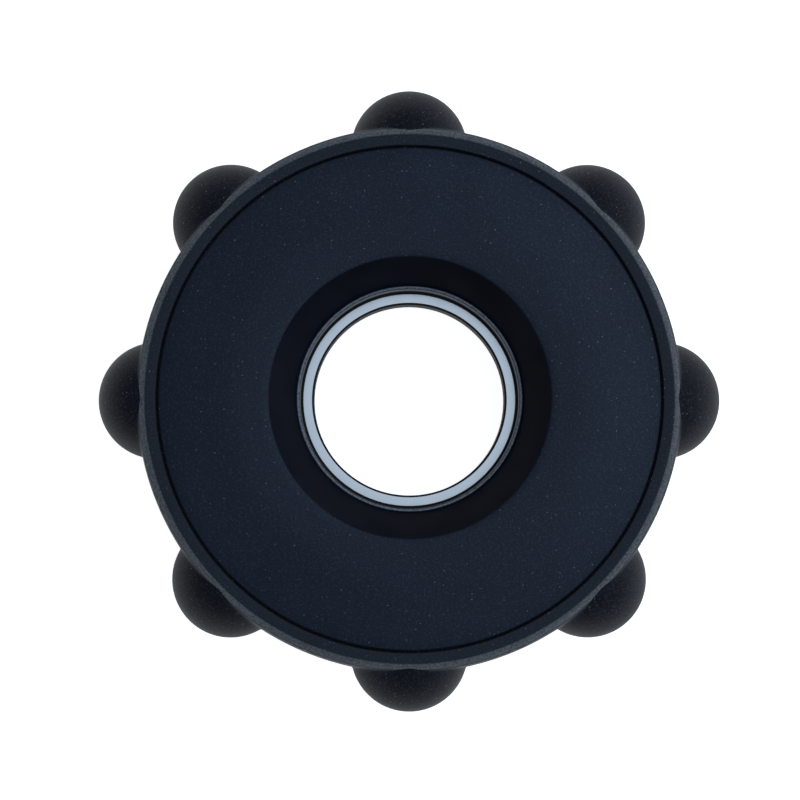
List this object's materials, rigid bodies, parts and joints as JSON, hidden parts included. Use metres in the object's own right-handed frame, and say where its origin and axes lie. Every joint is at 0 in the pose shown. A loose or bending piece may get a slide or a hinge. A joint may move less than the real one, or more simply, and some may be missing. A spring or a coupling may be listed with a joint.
{
  "type": "massage roller wheel",
  "caption": "Soft knobbed massage roller wheel: domed faces inset in a tyre with round knobs, and a sealed ball bearing that slides on a bar.",
  "frame": {"origin": "centre of the bearing's bore, halfway through the wheel", "axes": "+Z along the wheel's axis, out of the front face; +X through the middle of a knob"},
  "size_m": [0.1636, 0.1636, 0.052],
  "materials": {
    "tyre_silicone": "soft-touch matte silicone, satin where it curves away",
    "skin_silicone": "soft-touch matte silicone",
    "core_nylon": "moulded glass-filled nylon",
    "bearing_steel": "ground bearing steel, satin",
    "ball_steel": "polished bearing balls",
    "cage_nylon": "natural nylon",
    "seal_nitrile": "matte nitrile",
    "fastener_steel": "zinc-plated steel"
  },
  "bodies": {
    "hub": {"bearing_inner_race": "bearing_steel"},
    "cage": {"ball_cage": "cage_nylon", "ball_01": "ball_steel", "ball_02": "ball_steel", "ball_03": "ball_steel", "ball_04": "ball_steel", "ball_05": "ball_steel", "ball_06": "ball_steel", "ball_07": "ball_steel", "ball_08": "ball_steel", "ball_09": "ball_steel", "ball_10": "ball_steel", "ball_11": "ball_steel", "ball_12": "ball_steel", "ball_13": "ball_steel", "ball_14": "ball_steel", "ball_15": "ball_steel", "ball_16": "ball_steel", "ball_17": "ball_steel", "ball_18": "ball_steel"},
    "wheel": {"knobbed_tyre": "tyre_silicone", "front_face_skin": "skin_silicone", "rear_face_skin": "skin_silicone", "front_core_half": "core_nylon", "rear_core_half": "core_nylon", "clamp_screws": "fastener_steel", "clamp_nuts": "fastener_steel", "bearing_outer_race": "bearing_steel", "front_bearing_seal": "seal_nitrile", "rear_bearing_seal": "seal_nitrile"}
  },
  "joints": [
    {"name": "wheel_spin", "type": "hinge", "parent": "hub", "child": "wheel", "pos_m": [0, 0, 0], "axis": [0, 0, 1], "continuous": true},
    {"name": "cage_orbit", "type": "hinge", "parent": "hub", "child": "cage", "pos_m": [0, 0, 0], "axis": [0, 0, 1], "continuous": true}
  ],
  "couplings": [
    {"joint": "cage_orbit", "follows": "wheel_spin", "ratio": 0.5552}
  ]
}
